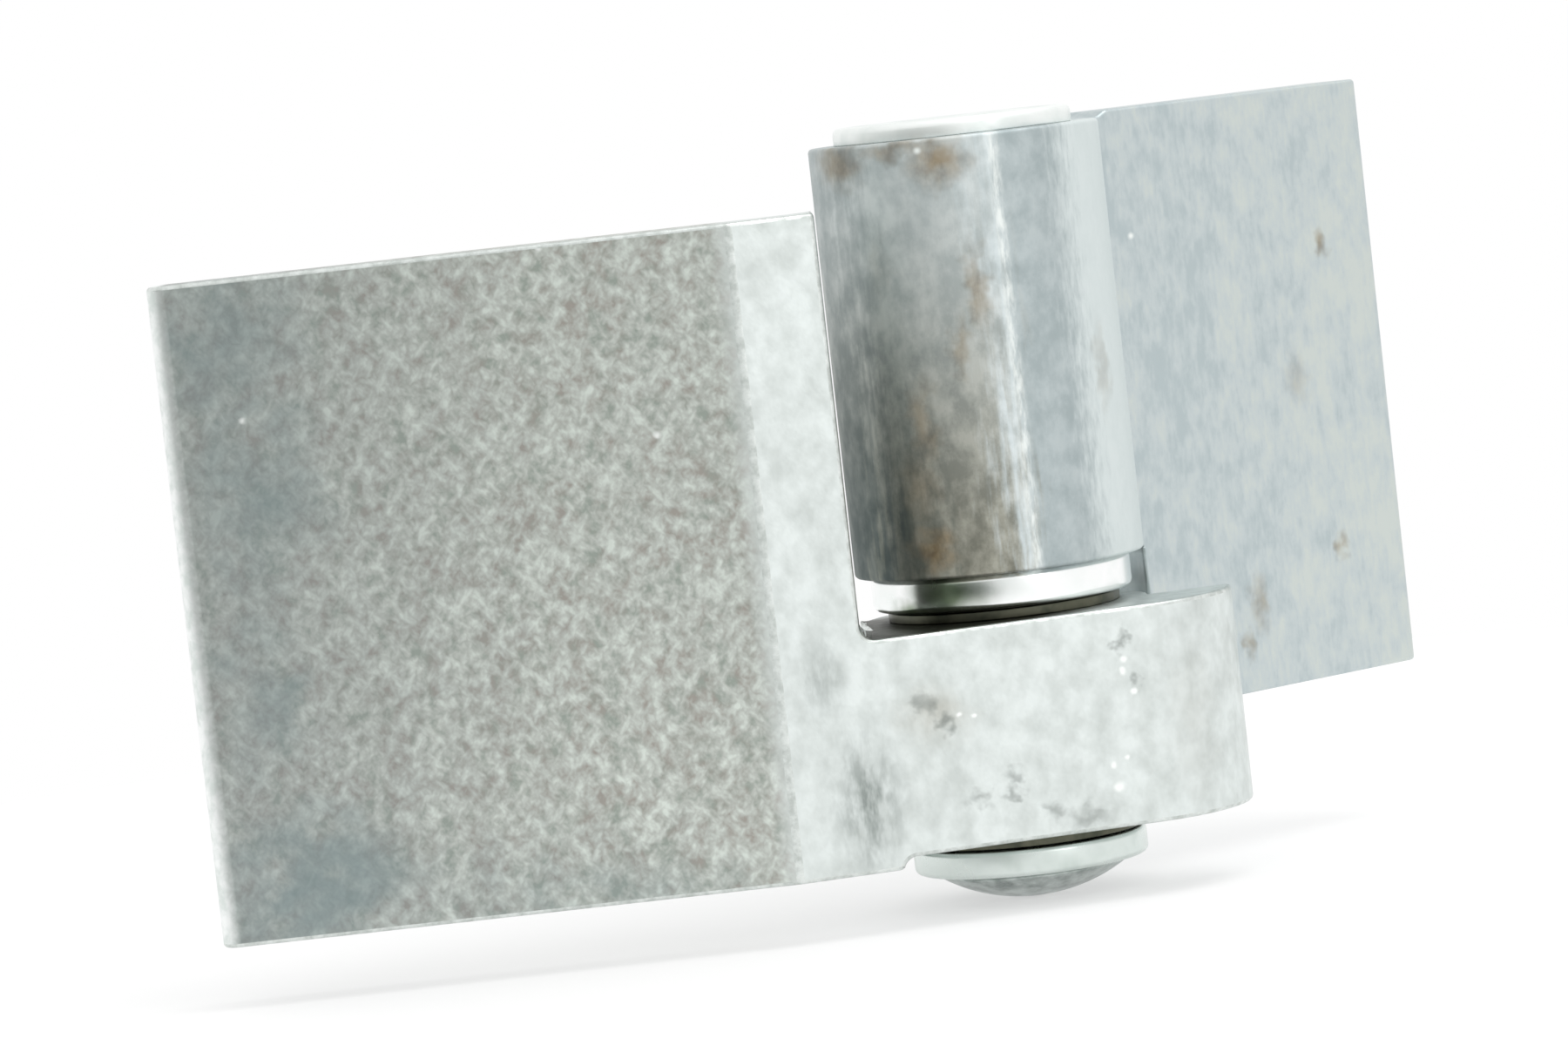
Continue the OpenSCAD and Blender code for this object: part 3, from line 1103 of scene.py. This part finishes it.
@dataclass
class RolledHalf:
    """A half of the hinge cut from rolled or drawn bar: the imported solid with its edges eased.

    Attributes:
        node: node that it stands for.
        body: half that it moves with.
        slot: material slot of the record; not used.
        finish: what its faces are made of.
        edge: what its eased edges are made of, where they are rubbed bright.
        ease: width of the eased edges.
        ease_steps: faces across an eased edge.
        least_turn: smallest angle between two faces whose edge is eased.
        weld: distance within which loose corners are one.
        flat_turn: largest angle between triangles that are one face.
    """

    node: str
    body: Body
    slot: Slot
    finish: PickledSteel | DrawnSteel
    edge: WornMetal | None = None
    ease: float = 0.28
    ease_steps: int = 3
    least_turn: float = 11.0
    weld: float = 0.002
    flat_turn: float = 0.5

    def build(self) -> bpy.types.Object:
        """Copy the solid, merge its loose triangles into whole faces and ease its edges.

        Returns:
            The piece, with rubbed edges in the second material slot.
        """
        source = frame["nodes"][self.node]
        mesh = bpy.data.meshes.new(f"{self.node}_eased")
        work = bmesh.new()
        work.from_mesh(source.data)
        bmesh.ops.remove_doubles(work, verts=work.verts, dist=self.weld * MM)
        bmesh.ops.dissolve_limit(
            work,
            angle_limit=math.radians(self.flat_turn),
            verts=work.verts,
            edges=work.edges,
            use_dissolve_boundaries=False,
        )
        work.to_mesh(mesh)
        work.free()
        mesh.polygons.foreach_set("use_smooth", np.ones(len(mesh.polygons), bool))
        piece = placed(f"{self.node}_eased", mesh)
        bevel = piece.modifiers.new("eased_edges", "BEVEL")
        bevel.width = self.ease * MM
        bevel.segments = self.ease_steps
        bevel.limit_method = "ANGLE"
        bevel.angle_limit = math.radians(self.least_turn)
        bevel.use_clamp_overlap = False
        bevel.material = 1 if self.edge else -1
        weighted = piece.modifiers.new("flat_faces", "WEIGHTED_NORMAL")
        weighted.keep_sharp = True
        return piece

    def dress(self) -> bpy.types.Object:
        """Build the half and give it its finish and, where it has them, its rubbed edges."""
        materials = [layer.material() for layer in (self.finish, self.edge) if layer]
        return settle(self.build(), self.node, self.body, materials)


@dataclass
class HingePin:
    """The headed pin: a turned head, a straight shank and a peened tail.

    Attributes:
        axis: X and Y of the pin.
        head_h: thickness of the head.
        shank_r: radius of the shank.
        tail_r: radius that the tail is spread to.
        rim_r: radius on the head's upper rim.
        nick_r: small radii under the head and at the washer.
        dome_rows: rows of points down the tail.
        blows: uneven spread of the tail, as a share of its radius.
        blow_waves: waves a turn, size and start of each swing of that spread.
    """

    axis: Pair = field(default_factory=pin_axis)
    head_h: float = 1.2
    shank_r: float = 5.0
    tail_r: float = 6.9
    rim_r: float = 0.5
    nick_r: float = 0.1
    dome_rows: int = 18
    blows: float = 0.016
    blow_waves: tuple[Point, ...] = ((3.0, 1.0, 0.7), (5.0, 0.6, 2.1))

    def build(self) -> bpy.types.Object:
        """Build the pin as one surface closed on the axis at both ends.

        The section runs from the middle of the head over its rim and down the shank, then along
        the tail's dome, where the radius is R sin(a) and the drop R (1 - cos(a)). On the tail the
        radius also swings with three and five waves a turn, as hammer blows leave it.

        Returns:
            The pin, with the faces of its tail in the second material slot.
        """
        head_r, bottom, top = span("hinge_pin")
        seat = span("rivet_washer")[1]
        under = top - self.head_h
        corners = np.array(
            [
                (0.0, top),
                (head_r, top),
                (head_r, under),
                (self.shank_r, under),
                (self.shank_r, seat),
                (self.tail_r, seat),
                (0.0, bottom),
            ]
        )
        radii = np.full(len(corners), self.nick_r)
        radii[1] = self.rim_r
        arcs = rounded_section(corners, radii).reshape(len(corners), -1, 2)
        drop = seat - bottom
        ball = (self.tail_r**2 + drop**2) / (2.0 * drop)
        angle = np.linspace(math.asin(self.tail_r / ball), 0.0, self.dome_rows + 2)[1:-1]
        dome = np.stack([ball * np.sin(angle), bottom + ball * (1.0 - np.cos(angle))], axis=-1)
        section = np.vstack([arcs[1:-1].reshape(-1, 2), dome])
        grid = lathe(section, self.axis)
        turn = np.linspace(0.0, 2.0 * np.pi, grid.shape[1], endpoint=False)
        waves = sum(size * np.cos(count * turn + start) for count, size, start in self.blow_waves)
        on_tail = (section[:, 1] < seat - self.nick_r)[:, None]
        swing = np.where(on_tail, 1.0 + self.blows * waves, 1.0)[..., None]
        centre = np.array(self.axis)
        grid[..., :2] = centre + (grid[..., :2] - centre) * swing
        piece = grid_object("hinge_pin_turned", grid, Fringe.POLES)
        heights = np.zeros(len(piece.data.polygons) * 3)
        piece.data.polygons.foreach_get("center", heights)
        piece.data.polygons.foreach_set("material_index", (heights[2::3] < seat * MM).astype(np.int32))
        return piece

    def dress(self) -> bpy.types.Object:
        """Build the pin, bright above the washer and dark where it was peened."""
        materials = (HEAD_STEEL.material(), PEENED_STEEL.material())
        return settle(self.build(), "hinge_pin", Body.DOOR, materials)


@dataclass
class RunningSet:
    """The round pieces that the pin runs in and on: thrust ring, two flanged bushes and washer.

    Attributes:
        axis: X and Y of the pin.
        ring_bore_r: radius of the bore in the ring and the washer.
        bush_bore_r: radius of the bushes' bore.
        bush_r: outer radius of the bushes' sleeves.
        flange_t: thickness of the bushes' flanges.
        ring_edge_r: radius on the ring's outer edges.
        washer_edge_r: radius on the washer's outer edges.
        small_r: radius on every other edge.
    """

    axis: Pair = field(default_factory=pin_axis)
    ring_bore_r: float = 5.05
    bush_bore_r: float = 5.04
    bush_r: float = 6.0
    flange_t: float = 0.7
    ring_edge_r: float = 0.5
    washer_edge_r: float = 0.4
    small_r: float = 0.12

    def build_collar(self, node: str, edge_r: float) -> bpy.types.Object:
        """Carry a rectangle with rounded corners round the pin.

        Args:
            node: node that gives the collar's outer radius and its two faces.
            edge_r: radius on the outer edges.

        Returns:
            The collar.
        """
        outer, low, high = span(node)
        corners = np.array([(outer, high), (outer, low), (self.ring_bore_r, low), (self.ring_bore_r, high)])
        section = rounded_section(corners, (edge_r, edge_r, self.small_r, self.small_r))
        return grid_object(f"{node}_turned", lathe(section, self.axis), Fringe.LOOP)

    def build_bush(self, node: str, flange_up: bool) -> bpy.types.Object:
        """Carry an L-shaped section with rounded corners round the pin.

        Args:
            node: node that gives the bush's flange radius and its two ends.
            flange_up: whether the flange is at the upper end.

        Returns:
            The bush.
        """
        outer, low, high = span(node)
        length = high - low
        corners = np.array(
            [
                (outer, length),
                (outer, length - self.flange_t),
                (self.bush_r, length - self.flange_t),
                (self.bush_r, 0.0),
                (self.bush_bore_r, 0.0),
                (self.bush_bore_r, length),
            ]
        )
        section = rounded_section(corners, (self.small_r,) * len(corners))
        if flange_up:
            section[:, 1] += low
        else:
            section = section[::-1] * (1.0, -1.0) + (0.0, high)
        return grid_object(f"{node}_turned", lathe(section, self.axis), Fringe.LOOP)

    def dress(self) -> list[bpy.types.Object]:
        """Build the four pieces with their finishes.

        Returns:
            Ring, upper bush, lower bush and washer.
        """
        bright = RING_STEEL.material()
        plain = WASHER_STEEL.material()
        bronze = OILED_BRONZE.material()
        ring = self.build_collar("thrust_ring", self.ring_edge_r)
        upper = self.build_bush("upper_bush", True)
        lower = self.build_bush("lower_bush", False)
        washer = self.build_collar("rivet_washer", self.washer_edge_r)
        return [
            settle(ring, "thrust_ring", Body.DOOR, (bright,)),
            settle(upper, "upper_bush", Body.PILLAR, (bronze,)),
            settle(lower, "lower_bush", Body.PILLAR, (bronze,)),
            settle(washer, "rivet_washer", Body.DOOR, (plain,)),
        ]


def toward(azimuth: float, elevation: float) -> Vector:
    """Give a unit vector by its angle to the camera's right and its angle up, in degrees."""
    side, up = math.radians(azimuth), math.radians(elevation)
    return Vector((math.sin(side) * math.cos(up), -math.cos(side) * math.cos(up), math.sin(up)))


@dataclass
class Softbox:
    """A rectangular lamp that faces the hinge.

    Attributes:
        name: name of the lamp.
        azimuth: angle to the camera's right.
        elevation: angle up.
        distance: distance from the hinge.
        width: width of the lamp.
        height: height of the lamp.
        watts: power.
    """

    name: str
    azimuth: float
    elevation: float
    distance: float
    width: float
    height: float
    watts: float

    def build(self, target: Vector) -> bpy.types.Object:
        """Set the lamp up, facing a point.

        Args:
            target: the point, in metres.

        Returns:
            The lamp.
        """
        data = bpy.data.lights.new(self.name, "AREA")
        data.shape = "RECTANGLE"
        data.size = self.width * MM
        data.size_y = self.height * MM
        data.energy = self.watts
        lamp = placed(self.name, data)
        away = toward(self.azimuth, self.elevation)
        lamp.location = target + away * self.distance * MM
        lamp.rotation_euler = away.to_track_quat("Z", "Y").to_euler()
        return lamp


@dataclass
class Studio:
    """White floor and surroundings, a grey card at the front left, two softboxes and the camera.

    Attributes:
        target: point that the camera looks at.
        distance: distance of the camera.
        elevation: angle that the camera looks down by.
        roll: angle that the camera is turned by, clockwise as it sees.
        lens: focal length on a sensor 36 mm wide.
        dim_azimuth: angle of the card's middle to the camera's right.
        dim_elevation: angle of the card's middle up.
        dim_flat: how many times wider than high the card's tones are.
        card_r: distance of the card.
        card_sides: angles of the card's two ends to the camera's right.
        card_rises: angles of the card's lower and upper side up.
        card_tones: cosines of the angle to the card's middle, and the tones there.
        card_cells: points across the card and up it.
        floor_r: radius of the floor.
        floor_points: points round the floor's rim.
        paper: colour of the floor.
        floor_glow: share of the floor that shows as plain white, the rest taking shadow.
        lamps: the softboxes.
    """

    target: Point = (21.05, 14.01, 1.05)
    distance: float = 450.0
    elevation: float = 4.0
    roll: float = 6.4
    lens: float = 150.0
    dim_azimuth: float = -38.0
    dim_elevation: float = -4.0
    dim_flat: float = 3.5
    card_r: float = 900.0
    card_sides: Pair = (-104.0, 28.0)
    card_rises: Pair = (-34.0, 26.0)
    card_tones: tuple[tuple[float, str], ...] = (
        (0.45, WHITE),
        (0.78, "#DFE2E0"),
        (0.9, "#7D8480"),
        (0.97, "#4F5652"),
    )
    card_cells: tuple[int, int] = (61, 31)
    floor_r: float = 160.0
    floor_points: int = 96
    paper: str = "#FAFAFA"
    floor_glow: float = 0.5
    lamps: tuple[Softbox, ...] = (
        Softbox("window", 32.0, 22.0, 700.0, 240.0, 500.0, 0.4),
        Softbox("ceiling", 70.0, 68.0, 600.0, 320.0, 320.0, 0.9),
    )

    def build_camera(self) -> bpy.types.Object:
        """Set the camera up from its target, distance, elevation and roll.

        Returns:
            The camera, made the scene's own.
        """
        data = bpy.data.cameras.new("camera")
        data.lens = self.lens
        camera = placed("camera", data)
        back = toward(0.0, self.elevation)
        level = Vector((1.0, 0.0, 0.0))
        upright = back.cross(level)
        turn = math.radians(self.roll)
        right = level * math.cos(turn) - upright * math.sin(turn)
        up = level * math.sin(turn) + upright * math.cos(turn)
        stand = Matrix((right, up, back)).transposed().to_4x4()
        stand.translation = Vector(metres(self.target)) + back * self.distance * MM
        camera.matrix_world = stand
        bpy.context.scene.camera = camera
        return camera

    def build_floor(self) -> bpy.types.Object:
        """Lay a round white floor under the hinge that keeps its shadow.

        Returns:
            The floor.
        """
        turn = np.linspace(0.0, 2.0 * np.pi, self.floor_points, endpoint=False)
        middle = np.array(metres(self.target[:2]))
        rim = middle + self.floor_r * MM * np.stack([np.cos(turn), np.sin(turn)], axis=-1)
        rim = np.column_stack([rim, np.full(len(rim), cad_box[0][2])])
        mesh = bpy.data.meshes.new("floor")
        mesh.from_pydata(rim, [], [np.arange(len(rim))])
        floor = placed("floor", mesh)
        made = fresh_material("white_paper")
        # rays find the glow by themselves, and treating it as a lamp would only take time
        made.cycles.emission_sampling = "NONE"
        tree = made.node_tree
        path = add(tree, "ShaderNodeLightPath").node.outputs
        seen = add(tree, MATH, {0: path["Is Camera Ray"], 1: path["Is Glossy Ray"]}, operation="MAXIMUM")
        seen = add(tree, MATH, {0: seen, 1: path["Is Transmission Ray"]}, operation="MAXIMUM")
        share = add(tree, MATH, {0: seen, 1: self.floor_glow}, operation="MULTIPLY")
        paper = add(tree, "ShaderNodeBsdfDiffuse", {"Color": linear(self.paper)})
        glow = add(tree, "ShaderNodeEmission", {"Color": linear(WHITE), "Strength": 1.0})
        mixed = add(tree, "ShaderNodeMixShader", {0: share, 1: paper, 2: glow})
        add(tree, OUTPUT, {"Surface": mixed})
        mesh.materials.append(made)
        return floor

    def build_card(self) -> bpy.types.Object:
        """Hang a grey card low at the front left, out of the picture, for the steel to mirror.

        The card is a patch of a sphere about the hinge: a point lies card_r along the direction
        given by its angle to the camera's right and its angle up. Its tone follows the cosine of the
        angle to its middle, measured with heights stretched, so that it is wider than high.

        Returns:
            The card.
        """
        side = np.radians(np.linspace(*self.card_sides, self.card_cells[0]))[None, :]
        rise = np.radians(np.linspace(*self.card_rises, self.card_cells[1]))[:, None]
        level = np.cos(rise)
        ways = np.stack(
            np.broadcast_arrays(np.sin(side) * level, -np.cos(side) * level, np.sin(rise)), axis=-1
        )
        points = (np.array(self.target) + self.card_r * ways).reshape(-1, 3) * MM
        number = np.arange(len(points)).reshape(ways.shape[:2])
        corners = (number[:-1, :-1], number[1:, :-1], number[1:, 1:], number[:-1, 1:])
        mesh = bpy.data.meshes.new("grey_card")
        mesh.from_pydata(points.tolist(), [], np.stack(corners, axis=-1).reshape(-1, 4).tolist())
        card = placed("grey_card", mesh)
        card.visible_camera = False
        made = fresh_material("grey_card_paper")
        made.cycles.emission_sampling = "NONE"
        tree = made.node_tree
        flatten = Vector((1.0, 1.0, self.dim_flat))
        way = add(tree, COORDS, pick="Object")
        way = add(tree, VECTOR, {0: way, 1: metres(self.target)}, operation="SUBTRACT")
        way = add(tree, VECTOR, {0: way, 1: flatten}, operation="MULTIPLY")
        way = add(tree, VECTOR, {0: way}, operation="NORMALIZE")
        middle = (toward(self.dim_azimuth, self.dim_elevation) * flatten).normalized()
        near = add(tree, VECTOR, {0: way, 1: middle}, pick="Value", operation="DOT_PRODUCT")
        tone = add(tree, RAMP, {0: near}, stops=self.card_tones)
        glow = add(tree, "ShaderNodeEmission", {"Color": tone, "Strength": 1.0})
        add(tree, OUTPUT, {"Surface": glow})
        mesh.materials.append(made)
        return card

    def build_surroundings(self) -> bpy.types.World:
        """Surround the hinge with plain white, for the camera and for what the steel mirrors alike.

        Returns:
            The world.
        """
        world = bpy.data.worlds.new("white_room")
        bpy.context.scene.world = world
        world.use_nodes = True
        tree = world.node_tree
        tree.nodes.clear()
        light = add(tree, "ShaderNodeBackground", {"Color": linear(WHITE), "Strength": 1.0})
        add(tree, "ShaderNodeOutputWorld", {"Surface": light})
        return world

    def build(self) -> None:
        """Set up the camera, the floor, the card, the surroundings and the lamps."""
        target = Vector(metres(self.target))
        made = [self.build_camera(), self.build_floor(), self.build_card(), self.build_surroundings()]
        made += [lamp.build(target) for lamp in self.lamps]
        for item in made:
            LOG.info("%s: around the hinge, not part of it", item.name)
        bpy.context.scene.view_settings.view_transform = "Standard"


def main() -> None:
    """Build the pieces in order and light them."""
    logging.basicConfig(level=logging.INFO, format="%(name)s: %(message)s")
    pieces = [
        RolledHalf("pillar_leaf", Body.PILLAR, Slot.PILLAR, PickledSteel(), BURNISHED_EDGE).dress(),
        RolledHalf("door_leaf", Body.DOOR, Slot.DOOR, DrawnSteel()).dress(),
        HingePin().dress(),
        *RunningSet().dress(),
    ]
    for piece in pieces:
        LOG.info("%s: %d faces", piece.name, len(piece.data.polygons))
    Studio().build()


if __name__ == "__main__":
    main()
